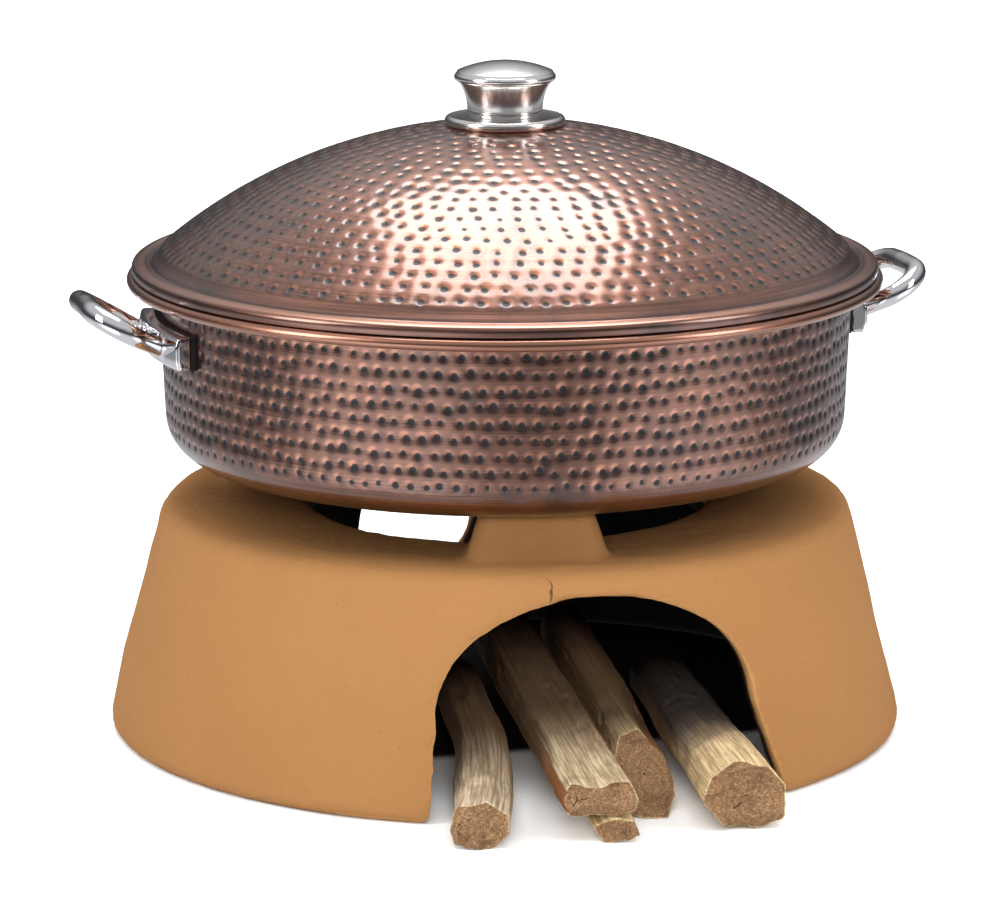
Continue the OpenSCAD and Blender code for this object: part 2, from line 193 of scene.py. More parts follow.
def smooth_noise(points, size, seed):
    """A smooth random value between about -1 and 1 at each point; size is a ripple's length."""
    rng = np.random.default_rng(seed)
    total = np.zeros(len(points))
    for _ in range(10):
        way = rng.normal(size=3)
        way *= rng.uniform(0.6, 1.4) / np.linalg.norm(way)
        total += np.sin(points @ way * TURN / size + rng.uniform(0, TURN))
    return total / math.sqrt(10)


def points_of(made):
    co = np.zeros(len(made.data.vertices) * 3)
    made.data.vertices.foreach_get("co", co)
    return co.reshape(-1, 3)


def normals_at(made):
    no = np.zeros(len(made.data.vertices) * 3)
    made.data.vertex_normals.foreach_get("vector", no)
    return no.reshape(-1, 3)


def move_points(made, points):
    made.data.vertices.foreach_set("co", np.asarray(points, float).ravel())
    made.data.update()


def remeshed(made, voxel, rounds):
    """Turns a made-up solid into one even skin and softens its edges."""
    remesh = made.modifiers.new("skin", "REMESH")
    remesh.mode = "VOXEL"
    remesh.voxel_size = voxel
    remesh.use_smooth_shade = True
    soften = made.modifiers.new("soften", "SMOOTH")
    soften.factor = 0.5
    soften.iterations = rounds
    bpy.context.view_layer.update()
    seen = made.evaluated_get(bpy.context.evaluated_depsgraph_get())
    skin = bpy.data.meshes.new_from_object(seen)
    made.modifiers.clear()
    made.data = skin
    skin.polygons.foreach_set("use_smooth", [True] * len(skin.polygons))


def joined(name, parts):
    """One object from several, each of them a closed solid."""
    points, faces, start = [], [], 0
    for part in parts:
        co = points_of(part)
        points.append(co)
        faces += [[v + start for v in p.vertices] for p in part.data.polygons]
        start += len(co)
        bpy.data.objects.remove(part)
    return mesh_object(name, np.concatenate(points), faces)


def tube(name, path, radius, sides=24):
    """A closed round tube along a path, with a radius at each of its points."""
    path = np.asarray(path, float)
    way = np.gradient(path, axis=0)
    way /= np.linalg.norm(way, axis=1)[:, None]
    side = np.cross(way, [0, 0, 1.0])
    side /= np.linalg.norm(side, axis=1)[:, None]
    up = np.cross(side, way)
    a = np.arange(sides) * TURN / sides
    ring = np.cos(a)[None, :, None] * side[:, None, :] + np.sin(a)[None, :, None] * up[:, None, :]
    points = (path[:, None, :] + ring * np.asarray(radius)[:, None, None]).reshape(-1, 3)
    rows = len(path)
    points = np.concatenate([points, path[:1], path[-1:]])
    faces = grid_faces(rows, sides).tolist()
    first, last = rows * sides, rows * sides + 1
    for k in range(sides):
        n = (k + 1) % sides
        faces.append([first, n, k])
        faces.append([last, (rows - 1) * sides + k, (rows - 1) * sides + n])
    return mesh_object(name, points, faces)


# ---------------------------------------------------------------- materials


def new_material(name):
    made = bpy.data.materials.new(name)
    made.use_nodes = True
    tree = made.node_tree
    return made, tree, tree.nodes["Principled BSDF"]


def node(tree, kind, inputs=None, **settings):
    """A shader node; its inputs are values or other nodes' sockets."""
    made = tree.nodes.new(kind)
    for key, value in settings.items():
        setattr(made, key, value)
    for key, value in (inputs or {}).items():
        plug(tree, made.inputs[key], value)
    return made


def plug(tree, socket, value):
    if isinstance(value, bpy.types.NodeSocket):
        tree.links.new(value, socket)
    else:
        socket.default_value = value


def calc(tree, operation, a, b=0.0, clamp=False):
    made = node(tree, "ShaderNodeMath", {0: a, 1: b}, operation=operation, use_clamp=clamp)
    return made.outputs[0]


def mixed(tree, factor, a, b):
    made = tree.nodes.new("ShaderNodeMix")
    made.data_type = "RGBA"
    plug(tree, made.inputs[0], factor)
    plug(tree, made.inputs[6], a)
    plug(tree, made.inputs[7], b)
    return made.outputs[2]


def fade(tree, value, low, high):
    """0 below low, 1 above high, and smooth between; low may be the larger."""
    made = node(tree, "ShaderNodeMapRange", {0: value, 1: low, 2: high}, clamp=True)
    made.interpolation_type = "SMOOTHSTEP"
    return made.outputs[0]


def stored(tree, name):
    return node(tree, "ShaderNodeAttribute", attribute_name=name).outputs["Fac"]


def place(tree, scale=(1, 1, 1)):
    """The piece's own coordinates in metres, stretched by scale."""
    own = node(tree, "ShaderNodeTexCoord").outputs["Object"]
    return node(tree, "ShaderNodeMapping", {"Vector": own, "Scale": scale}).outputs[0]


def vector(tree, x, y, z):
    return node(tree, "ShaderNodeCombineXYZ", {0: x, 1: y, 2: z}).outputs[0]


def cloud(tree, where, scale, detail=3.0, rough=0.5):
    made = node(tree, "ShaderNodeTexNoise", {"Vector": where, "Scale": scale,
                                             "Detail": detail, "Roughness": rough})
    return made.outputs["Fac"]


def bumped(tree, shader, height, distance, strength=1.0, below=None):
    made = node(tree, "ShaderNodeBump", {"Height": height, "Distance": distance,
                                         "Strength": strength})
    if below is not None:
        tree.links.new(below, made.inputs["Normal"])
    tree.links.new(made.outputs[0], shader.inputs["Normal"])
    return made.outputs[0]


def colour(*rgb):
    return (*rgb, 1.0)


COPPER_DARK, COPPER_LIGHT = colour(0.150, 0.068, 0.048), colour(0.320, 0.152, 0.106)
COPPER_BLOTCH = colour(0.100, 0.057, 0.047)
# Painted highlight colour for the lip on the high side of each mark and for the plain rims
COPPER_PAINTED_HIGHLIGHT = colour(0.62, 0.275, 0.165)
COPPER_SHADE = colour(0.052, 0.046, 0.050)
COPPER_HIGH = colour(0.46, 0.21, 0.14)
COPPER_PIT = colour(0.004, 0.007, 0.010)


def turned_lines(tree, across, along):
    """Coordinates that draw a noise out into rings round the Z axis."""
    parts = node(tree, "ShaderNodeSeparateXYZ", {0: place(tree)})
    return vector(tree, calc(tree, "MULTIPLY", parts.outputs[0], across),
                  calc(tree, "MULTIPLY", parts.outputs[1], across),
                  calc(tree, "MULTIPLY", stored(tree, "run"), along))


def copper_colour(tree, brush, near, lean, pit):
    """Dark and light brushed copper, painted orange highlights as lips over the marks, painted shade
    under them, black pits.
    """
    blotch = cloud(tree, place(tree), 26.0, 5.0, 0.62)
    base = mixed(tree, fade(tree, brush, 0.3, 0.7), COPPER_DARK, COPPER_LIGHT)
    base = mixed(tree, fade(tree, blotch, 0.42, 0.75), base, COPPER_BLOTCH)
    # Painted highlight: an orange lip on the high side of each mark, where light would catch it
    lip = fade(tree, calc(tree, "ADD", lean, calc(tree, "MULTIPLY", brush, 0.3)), 0.35, 1.2)
    lip = calc(tree, "MULTIPLY", lip, fade(tree, near, 4.2, 2.0))
    base = mixed(tree, calc(tree, "MULTIPLY", lip, 0.7), base, COPPER_PAINTED_HIGHLIGHT)
    # Painted shade on the low side of each mark
    shade = fade(tree, calc(tree, "ADD", lean, calc(tree, "MULTIPLY", blotch, -0.6)), -0.35, -1.15)
    base = mixed(tree, calc(tree, "MULTIPLY", shade, 0.5), base, COPPER_SHADE)
    high = fade(tree, stored(tree, "ridge"), 0.80, 1.0)
    base = mixed(tree, calc(tree, "MULTIPLY", high, 0.30), base, COPPER_HIGH)
    return mixed(tree, calc(tree, "MULTIPLY", pit, 0.95), base, COPPER_PIT)


def copper_material(name):
    """Antique copper under clear lacquer, which the pits are too dark to show."""
    made, tree, shader = new_material(name)
    brush = cloud(tree, turned_lines(tree, 12.0, 1600.0), 1.0, 4.0, 0.65)
    near, lean = stored(tree, "near"), stored(tree, "lean")
    pit = fade(tree, calc(tree, "ADD", near, calc(tree, "MULTIPLY", lean, 0.4)), 1.85, 1.25)
    plug(tree, shader.inputs["Base Color"], copper_colour(tree, brush, near, lean, pit))
    rough = calc(tree, "ADD", 0.22, calc(tree, "MULTIPLY", brush, 0.2))
    plug(tree, shader.inputs["Roughness"], calc(tree, "ADD", rough, calc(tree, "MULTIPLY", pit, 0.2)))
    plug(tree, shader.inputs["Metallic"],
         calc(tree, "SUBTRACT", 1.0, calc(tree, "MULTIPLY", pit, 0.7)))
    plug(tree, shader.inputs["Coat Weight"],
         calc(tree, "SUBTRACT", 1.0, calc(tree, "MULTIPLY", pit, 0.85)))
    shader.inputs["Coat Roughness"].default_value = 0.13
    bumped(tree, shader, brush, 0.00005, 0.4)
    return made


def steel_material(name, tint, rough, turned, spread=0.08):
    """Bright steel with fine scratches; turned gives it rings round the Z axis."""
    made, tree, shader = new_material(name)
    if turned:
        scratch = cloud(tree, turned_lines(tree, 30.0, 4000.0), 1.0, 3.0, 0.6)
    else:
        scratch = cloud(tree, place(tree), 900.0, 3.0, 0.6)
    smear = cloud(tree, place(tree), 60.0, 2.0, 0.5)
    shader.inputs["Metallic"].default_value = 1.0
    smeared = mixed(tree, smear, colour(*[0.94 * c for c in tint]), colour(*tint))
    plug(tree, shader.inputs["Base Color"], smeared)
    plug(tree, shader.inputs["Roughness"],
         calc(tree, "ADD", rough, calc(tree, "MULTIPLY", scratch, spread)))
    bumped(tree, shader, scratch, 0.00002, 0.35)
    return made


def gasket_material():
    made, tree, shader = new_material("heat_gasket")
    grit = cloud(tree, place(tree), 1400.0, 4.0, 0.7)
    plug(tree, shader.inputs["Base Color"],
         mixed(tree, grit, colour(0.003, 0.003, 0.003), colour(0.012, 0.012, 0.011)))
    shader.inputs["Roughness"].default_value = 0.72
    bumped(tree, shader, grit, 0.0003, 0.6)
    return made


WASH_DARK, WASH_LIGHT = colour(0.275, 0.134, 0.049), colour(0.335, 0.166, 0.064)
WASH_DRAG = colour(0.30, 0.150, 0.057)
CLAY_STAIN = colour(0.25, 0.13, 0.055)
CLAY_SPECK = colour(0.20, 0.105, 0.05)
CLAY_CRACK = colour(0.10, 0.05, 0.022)
CLAY_LIP = colour(0.50, 0.275, 0.105)
BARE_CLAY = colour(0.62, 0.50, 0.40)
# Near-black for soot and painted shade in the stove, and for painted shade at the logs' far ends
SOOT_AND_SHADE_BLACK = colour(0.006, 0.005, 0.004)
CRACK_X = -28 * MM
CRACK_LOW_Z = 100 * MM
CRACK_HIGH_Z = 112 * MM
# Chips in millimetres: the middle of each, and its radius
CHIPS = [(-28.5, -169, 111, 1.6), (-86, -181, 14, 2.6), (-88, -178, 3, 3.0), (-83, -182, 46, 1.5),
         (-60, -178, 84, 1.4), (88, -172, 9, 2.2)]


def clay_material():
    """Ochre wash over clay: brush drags, grit, faint stains, a crack, chips, soot and painted shade
    inside, and painted shade on the top land.
    """
    made, tree, shader = new_material("ochre_clay")
    own = place(tree)
    wash = cloud(tree, own, 9.0, 4.0, 0.6)
    drag = cloud(tree, place(tree, (60, 60, 420)), 1.0, 3.0, 0.6)
    grit = cloud(tree, own, 900.0, 5.0, 0.75)
    lumps = cloud(tree, own, 160.0, 3.0, 0.6)
    stain = fade(tree, cloud(tree, place(tree, (1, 1, 0.6)), 30.0, 6.0, 0.7), 0.66, 0.78)
    speck = fade(tree, cloud(tree, own, 420.0, 2.0, 0.4), 0.72, 0.76)
    crack, chipped = clay_damage(tree, own)
    base = mixed(tree, wash, WASH_DARK, WASH_LIGHT)
    for share, strength, tint in ((drag, 0.35, WASH_DRAG), (stain, 0.35, CLAY_STAIN),
                                  (speck, 0.5, CLAY_SPECK), (crack, 0.85, CLAY_CRACK),
                                  (stored(tree, "lip"), 0.75, CLAY_LIP)):
        base = mixed(tree, calc(tree, "MULTIPLY", share, strength), base, tint)
    # Near-black soot and painted shade inside, and painted shade on the top land
    base = mixed(tree, stored(tree, "soot_and_shade"), base, SOOT_AND_SHADE_BLACK)
    base = mixed(tree, chipped, base, BARE_CLAY)
    plug(tree, shader.inputs["Base Color"], base)
    shader.inputs["Roughness"].default_value = 0.82
    shader.inputs["Specular IOR Level"].default_value = 0.04
    first = bumped(tree, shader, lumps, 0.0014, 0.5)
    second = bumped(tree, shader, drag, 0.0006, 0.75, first)
    third = bumped(tree, shader, grit, 0.0006, 0.8, second)
    bumped(tree, shader, calc(tree, "ADD", crack, chipped), -0.0008, 1.0, third)
    return made


def clay_damage(tree, own):
    """A fine crack up from the arch's crown, and chips where bare clay shows: 0 to 1 each."""
    wobble = cloud(tree, own, 130.0, 4.0, 0.6)
    x, y, z = node(tree, "ShaderNodeSeparateXYZ", {0: own}).outputs
    drift = calc(tree, "MULTIPLY", calc(tree, "SUBTRACT", wobble, 0.5), 9 * MM)
    off = calc(tree, "ABSOLUTE", calc(tree, "SUBTRACT", calc(tree, "ADD", x, drift), CRACK_X))
    crack = fade(tree, off, 0.5 * MM, 0.2 * MM)
    for axis, low, high in ((z, CRACK_LOW_Z, CRACK_LOW_Z + MM),
                            (z, CRACK_HIGH_Z, CRACK_HIGH_Z - 4 * MM), (y, -140 * MM, -150 * MM)):
        crack = calc(tree, "MULTIPLY", crack, fade(tree, axis, low, high))
    chipped = 0.0
    for cx, cy, cz, radius in CHIPS:
        away = node(tree, "ShaderNodeVectorMath", {0: own, 1: (cx * MM, cy * MM, cz * MM)},
                    operation="DISTANCE").outputs[1]
        rough = calc(tree, "ADD", away, calc(tree, "MULTIPLY", drift, 0.5))
        edge = fade(tree, rough, radius * MM, radius * 0.75 * MM)
        chipped = calc(tree, "ADD", chipped, edge, True)
    return crack, chipped


FACET_DARK, FACET_LIGHT = colour(0.10, 0.035, 0.014), colour(0.30, 0.125, 0.050)
DEEP_DARK, DEEP_LIGHT = colour(0.13, 0.070, 0.030), colour(0.62, 0.36, 0.170)
CHAR_DARK, CHAR_LIGHT = colour(0.012, 0.012, 0.013), colour(0.11, 0.11, 0.115)
FIBRE_CRACK = colour(0.015, 0.010, 0.007)
END_DARK, END_LIGHT = colour(0.110, 0.058, 0.028), colour(0.52, 0.315, 0.165)
END_RING = colour(0.20, 0.11, 0.055)
END_WORN = colour(0.070, 0.040, 0.022)
END_CRACK = colour(0.018, 0.011, 0.007)


def grain(tree, along, around, depth, detail, rough):
    """Noise drawn out along the log."""
    at = vector(tree, calc(tree, "MULTIPLY", stored(tree, "along"), along),
                calc(tree, "MULTIPLY", stored(tree, "around"), around), depth)
    return cloud(tree, at, 1.0, detail, rough)


def broken_end(tree, own, saw):
    """The colour of a broken end: coarse grain, faint rings, worn patches and a few cracks."""
    at = vector(tree, stored(tree, "ring"), 0.0, 0.0)
    rings = node(tree, "ShaderNodeTexWave", {"Vector": at, "Scale": 90.0, "Distortion": 4.0,
                                             "Detail": 4.0}).outputs["Fac"]
    rim_highlight_and_shade = fade(tree, cloud(tree, own, 75.0, 5.0, 0.7), 0.50, 0.72)
    cells = node(tree, "ShaderNodeTexVoronoi", {"Vector": place(tree, (1, 1, 1.6)), "Scale": 55.0},
                 feature="DISTANCE_TO_EDGE").outputs["Distance"]
    split = calc(tree, "MULTIPLY", fade(tree, cells, 0.030, 0.008),
                 fade(tree, cloud(tree, own, 70.0, 2.0, 0.5), 0.57, 0.63))
    end = mixed(tree, fade(tree, saw, 0.34, 0.68), END_DARK, END_LIGHT)
    for share, strength, tint in ((rings, 0.45, END_RING), (rim_highlight_and_shade, 0.6, END_WORN),
                                  (split, 0.8, END_CRACK)):
        end = mixed(tree, calc(tree, "MULTIPLY", share, strength), end, tint)
    return end


def wood_material(name, pale, dark, brown, char):
    """Dry split wood: fibres along the grain, a brown facet, wood darker and browner deeper in, and
    charred depths.
    """
    made, tree, shader = new_material(name)
    own = place(tree)
    fibre = grain(tree, 22.0, 620.0, 0.0, 6.0, 0.7)
    band = grain(tree, 9.0, 110.0, 3.0, 4.0, 0.6)
    patch = calc(tree, "MULTIPLY", fade(tree, cloud(tree, own, 34.0, 4.0, 0.6), 0.5, 0.72), 0.6)
    base = mixed(tree, fade(tree, fibre, 0.34, 0.68), colour(*dark), colour(*pale))
    base = mixed(tree, fade(tree, band, 0.52, 0.74), base, colour(*brown))
    base = mixed(tree, patch, base, colour(*[0.45 * c for c in dark]))
    base = mixed(tree, stored(tree, "facet"), base, mixed(tree, fibre, FACET_DARK, FACET_LIGHT))
    crack = calc(tree, "MULTIPLY", fade(tree, fibre, 0.30, 0.24), 0.8)
    base = mixed(tree, crack, base, FIBRE_CRACK)
    # Darker and browner further into the stove
    deep = calc(tree, "MULTIPLY", stored(tree, "deep"), 0.88)
    base = mixed(tree, deep, base, mixed(tree, fibre, DEEP_DARK, DEEP_LIGHT))
    burnt = calc(tree, "MULTIPLY", stored(tree, "char"), char)
    base = mixed(tree, burnt, base, mixed(tree, fibre, CHAR_DARK, CHAR_LIGHT))
    # Painted shade: the back end of each log darkens almost to black inside the stove
    base = mixed(tree, stored(tree, "far"), base, SOOT_AND_SHADE_BLACK)
    saw = cloud(tree, own, 1100.0, 5.0, 0.8)
    is_end = fade(tree, stored(tree, "end"), 0.4, 0.6)
    plug(tree, shader.inputs["Base Color"], mixed(tree, is_end, base, broken_end(tree, own, saw)))
    shader.inputs["Roughness"].default_value = 0.85
    shader.inputs["Specular IOR Level"].default_value = 0.05
    rise = node(tree, "ShaderNodeMix", {0: is_end, 2: fibre, 3: saw}).outputs[0]
    bumped(tree, shader, rise, 0.0016, 0.8)
    return made


def paint(node_name, material):
    """Gives a CAD node its own material."""
    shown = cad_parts[node_name]
    shown.data.materials.clear()
    shown.data.materials.append(material)


# ---------------------------------------------------------------- pot

WALL_TOP_R = 170.5 * MM
WALL_LOW_R = 168 * MM
CORNER_R = 22 * MM
SHEET = 1.4 * MM
BEAD_R = 2.8 * MM
RIM_NECK = 2.2 * MM
# How strongly the bead and the plain rims take the painted highlight: a distance to a mark and a lean
RIM_NEAR, BEAD_HIGHLIGHT_LEAN = 2.9, 1.1
UNMARKED = 9.0
WALL_COLS = 960
MARKS_PER_ROW_GAP = 7.45 * MM
WALL_ROW_GAP = 7.75 * MM
PLAIN_BAND = 17.5 * MM


def pot_outside():
    """Outline of the copper from under the bottom, up the wall and over the bead."""
    z = pot_low.z
    rim_z = pot_high.z - 2 * BEAD_R
    corner = (WALL_LOW_R - CORNER_R, z + CORNER_R)
    bead = (pot_high.x - BEAD_R, rim_z + BEAD_R)
    bottom = respace(np.array([[0.5 * MM, z], [corner[0], z]]), 8 * MM)
    round_corner = arc(corner, CORNER_R, -90, 0, 22)
    wall = respace(np.array([[WALL_LOW_R, corner[1]], [WALL_TOP_R, rim_z - RIM_NECK]]), 0.95 * MM)
    lip_r = WALL_TOP_R + RIM_NECK
    turn_out = arc((lip_r, rim_z - RIM_NECK), RIM_NECK, 180, 90, 5)
    lip = respace(np.array([[lip_r, rim_z], [bead[0] - BEAD_R, rim_z]]), 3 * MM)
    rolled = arc(bead, BEAD_R, 205, 520, 22)
    return outline(bottom, round_corner, wall, turn_out, lip, rolled), corner[1], rim_z


def pot_inside(wall_z, rim_z):
    """Outline of the lining from the rim down the wall and across the bottom."""
    inner_r, floor_z, lip_r = WALL_TOP_R - SHEET, pot_low.z + SHEET, 1.5 * MM
    rim_top = rim_z + SHEET
    return outline(
        respace(np.array([[pot_high.x - 2 * BEAD_R, rim_top], [WALL_TOP_R, rim_top]]), 3 * MM),
        arc((inner_r + lip_r, rim_z - 0.1 * MM), lip_r, 90, 180, 5),
        respace(np.array([[inner_r, rim_z - 2 * MM], [WALL_LOW_R - SHEET, wall_z]]), 3 * MM),
        arc((WALL_LOW_R - CORNER_R, wall_z), CORNER_R - SHEET, 0, -90, 14),
        respace(np.array([[WALL_LOW_R - CORNER_R, floor_z], [0.5 * MM, floor_z]]), 8 * MM))


def make_pot(copper, lining):
    line, wall_z, rim_z = pot_outside()
    run = run_of(line)
    wall_start = run[np.argmin(np.abs(line[:, 1] - wall_z) + (line[:, 0] < WALL_LOW_R - MM))]
    wall_end = wall_start + rim_z - wall_z
    first = wall_start - wall_z + pot_low.z + PLAIN_BAND
    starts = np.arange(first, wall_end, WALL_ROW_GAP)
    marks = mark_rows(starts, lambda s: WALL_TOP_R, MARKS_PER_ROW_GAP, 0.11)
    near, depth, lean = hammer(line, WALL_COLS, marks, WALL_DISH)
    angle = np.arange(WALL_COLS) * TURN / WALL_COLS
    sway = 0.25 * MM * np.sin(angle * 9 + 1) * np.sin(angle * 4)
    on_wall = (np.abs(line[:, 0] - WALL_TOP_R) < 4 * MM)[:, None]
    lift = np.where(on_wall, sway * 0.5 - depth, 0.0)
    pot = lathe("pot_body", line, WALL_COLS, lift)
    on_bead = (line[:, 1] > rim_z - 2 * MM)[:, None]
    set_attribute(pot, "near", np.where(on_bead, RIM_NEAR, np.where(on_wall, near / MM, UNMARKED)))
    set_attribute(pot, "ridge", np.where(on_wall, 1 - depth / FULL_DEPTH, PLAIN_RIDGE))
    set_attribute(pot, "lean", np.where(on_bead, BEAD_HIGHLIGHT_LEAN, np.where(on_wall, lean, 0.0)))
    pot.data.materials.append(copper)
    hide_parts("pot_shell")
    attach(pot, "pot")

    bowl = lathe("pot_lining", pot_inside(wall_z, rim_z), 360)
    bowl.data.materials.append(lining)
    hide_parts("pot_shell")
    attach(bowl, "pot")


# ---------------------------------------------------------------- lid

LID_SHEET = 1.2 * MM
DOME_R = 264.5 * MM
RING_W = 8.5 * MM
BAND_W = 6.5 * MM
SKIRT_H = 5.6 * MM
EDGE_R = 2.5 * MM
LID_COLS = 800
# Painted highlight on the ring and painted shade in the groove and on the skirt, where it is partly
# patina: millimetres out from the dome's foot, and how bright or dark
RIM_RUN = [0, 3, 6.5, 8, 9.5, 12, 14.5, 17, 19, 24]
RIM_LIGHT_AND_SHADE = [0, 0.5, 0.2, -1.2, -0.4, 0.9, 1.3, 1.2, -0.2, -0.45]


lid_r = lid_high.x
foot_r = lid_r - RING_W - BAND_W
foot_angle = math.degrees(math.acos(foot_r / DOME_R))
ring_z = lid_low.z + SKIRT_H
dome_z = lid_high.z - DOME_R


def lid_outside():
    """Outline of the lid from the crown down the dome, over the ring and the skirt."""
    foot_z = dome_z + math.sqrt(DOME_R**2 - foot_r**2)
    groove = (lid_r - RING_W, ring_z - 0.4 * MM)
    dome = respace(arc((0, dome_z), DOME_R, 89.6, foot_angle, 200), 1.25 * MM)
    drop = np.array([[foot_r, foot_z], [foot_r + 2.6 * MM, foot_z - 3.1 * MM],
                     [foot_r + 5.0 * MM, foot_z - 5.2 * MM], groove])
    ring = np.array([[groove[0] + 0.9 * MM, ring_z + 0.1 * MM],
                     [groove[0] + 2.6 * MM, ring_z + 0.9 * MM],
                     [lid_r - EDGE_R - 1.6 * MM, ring_z + 0.75 * MM]])
    edge = arc((lid_r - EDGE_R, ring_z - EDGE_R), EDGE_R, 78, 0, 8)
    skirt = np.array([[lid_r, lid_low.z + 0.6 * MM], [lid_r - 0.4 * MM, lid_low.z],
                      [lid_r - LID_SHEET, lid_low.z]])
    return outline(dome, respace(drop, 0.9 * MM), ring, edge, skirt), run_of(dome)[-1]


def make_lid(copper, lining):
    line, dome_run = lid_outside()
    starts = np.arange(31 * MM, dome_run - 2 * MM, 8.15 * MM)
    marks = mark_rows(starts, lambda s: DOME_R * math.sin(s / DOME_R), 9.6 * MM, 0.13)
    near, depth, lean = hammer(line, LID_COLS, marks, LID_DISH)
    run = run_of(line)
    on_dome = (run < dome_run + 1 * MM)[:, None]
    lift = np.where(on_dome, depth, 0.0)
    lid = lathe("lid_dome", line, LID_COLS, lift)
    set_attribute(lid, "near", np.where(on_dome, near / MM, RIM_NEAR))
    set_attribute(lid, "ridge", np.where(on_dome, 1 - depth / FULL_DEPTH, PLAIN_RIDGE))
    # Painted highlight and shade on the plain rim, carried in the lean
    rim_highlight_and_shade = np.interp(run, dome_run + np.array(RIM_RUN) * MM, RIM_LIGHT_AND_SHADE)
    set_attribute(lid, "lean", np.where(on_dome, -lean, rim_highlight_and_shade[:, None]))
    lid.data.materials.append(copper)
    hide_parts("lid_shell")
    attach(lid, "lid")

    inside = outline(
        np.array([[lid_r - LID_SHEET, lid_low.z], [lid_r - LID_SHEET, ring_z - EDGE_R]]),
        arc((lid_r - EDGE_R, ring_z - EDGE_R), EDGE_R - LID_SHEET, 0, 90, 6),
        np.array([[lid_r - RING_W, ring_z - LID_SHEET]]),
        respace(arc((0, dome_z), DOME_R - LID_SHEET, foot_angle, 89.4, 80), 6 * MM))
    hollow = lathe("lid_lining", inside, 360)
    hollow.data.materials.append(lining)
    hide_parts("lid_shell")
    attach(hollow, "lid")


# ---------------------------------------------------------------- knob


def turned_piece(name, node_name, line, material):
    """A turned piece of the knob that replaces its CAD node."""
    made = lathe(name, line, 160)
    made.data.materials.append(material)
    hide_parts(node_name)
    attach(made, "lid")


def make_knob(material):
    low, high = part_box("knob_base")
    edge = (high.z - low.z) / 2
    rim_r = high.x
    dome_at = dome_z + math.sqrt(DOME_R**2 - (rim_r - 1.5 * MM) ** 2)
    turned_piece("knob_flange", "knob_base", outline(
        [[1 * MM, high.z - 0.3 * MM], [20 * MM, high.z], [rim_r - edge, high.z - 0.05 * MM]],
        arc((rim_r - edge, high.z - edge), edge, 86, -50, 14),
        [[rim_r - 1.5 * MM, dome_at - 0.2 * MM], [1 * MM, lid_high.z - 0.2 * MM]]), material)

    low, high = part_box("knob_collar")
    soft = 0.6 * MM
    turned_piece("knob_ring", "knob_collar", outline(
        [[1 * MM, high.z], [high.x - soft, high.z]],
        arc((high.x - soft, high.z - soft), soft, 80, 0, 6),
        arc((high.x - soft, low.z + soft), soft, 0, -80, 6),
        [[1 * MM, low.z]]), material)

    low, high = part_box("knob_neck")
    waist_r, hollow_r = 18.5 * MM, 24 * MM
    top_angle = math.degrees(math.asin((high.z - low.z) / hollow_r))
    turned_piece("knob_stem", "knob_neck", outline(
        arc((waist_r + hollow_r, low.z), hollow_r, 180 - top_angle, 180, 24),
        [[waist_r - 0.5 * MM, low.z], [1 * MM, low.z]]), material)

    low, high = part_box("knob_cap")
    cap_r, edge_r = high.x, 2.2 * MM
    rise = high.z - low.z - 2 * edge_r
    crown_r = (cap_r**2 + rise**2) / (2 * rise)
    crown_from = math.degrees(math.acos((cap_r - 1.4 * MM) / crown_r))
    turned_piece("knob_top", "knob_cap", outline(
        arc((0, high.z - crown_r), crown_r, 89.5, crown_from, 36),
        arc((cap_r - edge_r, low.z + edge_r), edge_r, 62, -90, 18),
        [[cap_r - 4 * MM, low.z], [1 * MM, low.z]]), material)


# ---------------------------------------------------------------- handles

PLATE_IN_R = 172.1 * MM
PLATE_T = 7 * MM
LOOP_TILT = math.radians(30)
LOOP_SPREAD = math.radians(28)
LOOP_ARM = 14 * MM
LOOP_ROOT = 22 * MM
LOOP_CORNER = 17 * MM
LOOP_ARCH = 0.9 * MM
GRIP_R = 5.3 * MM
ROOT_THINNING = 1.1 * MM
ROOT_R = 5.2 * MM
PLATE_HALF_H = 8.25 * MM
PLATE_HALF_DEG = 13.5
PLATE_SWELL = 0.9 * MM
# The plate's section: shares of its thickness outward and of half its height upward
PLATE_SECTION = [(0, -1), (0, 1), (0.82, 1), (1, 0.86), (1, 0.4), (1, -0.4), (1, -0.86), (0.82, -1)]


def loop_path():
    """Half of the loop's centre line in its own plane, from a root to the grip's middle."""
    c, s = math.cos(LOOP_SPREAD), math.sin(LOOP_SPREAD)
    start = np.array([[-4 * MM * c, LOOP_ROOT - 4 * MM * s],
                      [LOOP_ARM * c, LOOP_ROOT + LOOP_ARM * s]])
    centre = (LOOP_ARM * c + LOOP_CORNER * s, LOOP_ROOT + LOOP_ARM * s - LOOP_CORNER * c)
    bend = arc(centre, LOOP_CORNER, 90 + math.degrees(LOOP_SPREAD), 0, 24)
    return outline(start, bend, [[centre[0] + LOOP_CORNER, 0.0]])


def handle_loop(root_r, middle_z):
    """The loop, thinner towards the plate and slightly arched."""
    half = respace(loop_path(), 1.2 * MM)
    flat = np.concatenate([half, half[-2::-1] * [1, -1]])
    share = np.abs(np.linspace(-1, 1, len(flat)))
    arch = LOOP_ARCH * np.sin(share * math.pi)
    path = np.stack([
        root_r + flat[:, 0] * math.cos(LOOP_TILT) + arch * math.sin(LOOP_TILT),
        flat[:, 1],
        middle_z + flat[:, 0] * math.sin(LOOP_TILT) - arch * math.cos(LOOP_TILT)], 1)
    return tube("loop", path, GRIP_R - ROOT_THINNING * share**2.2)


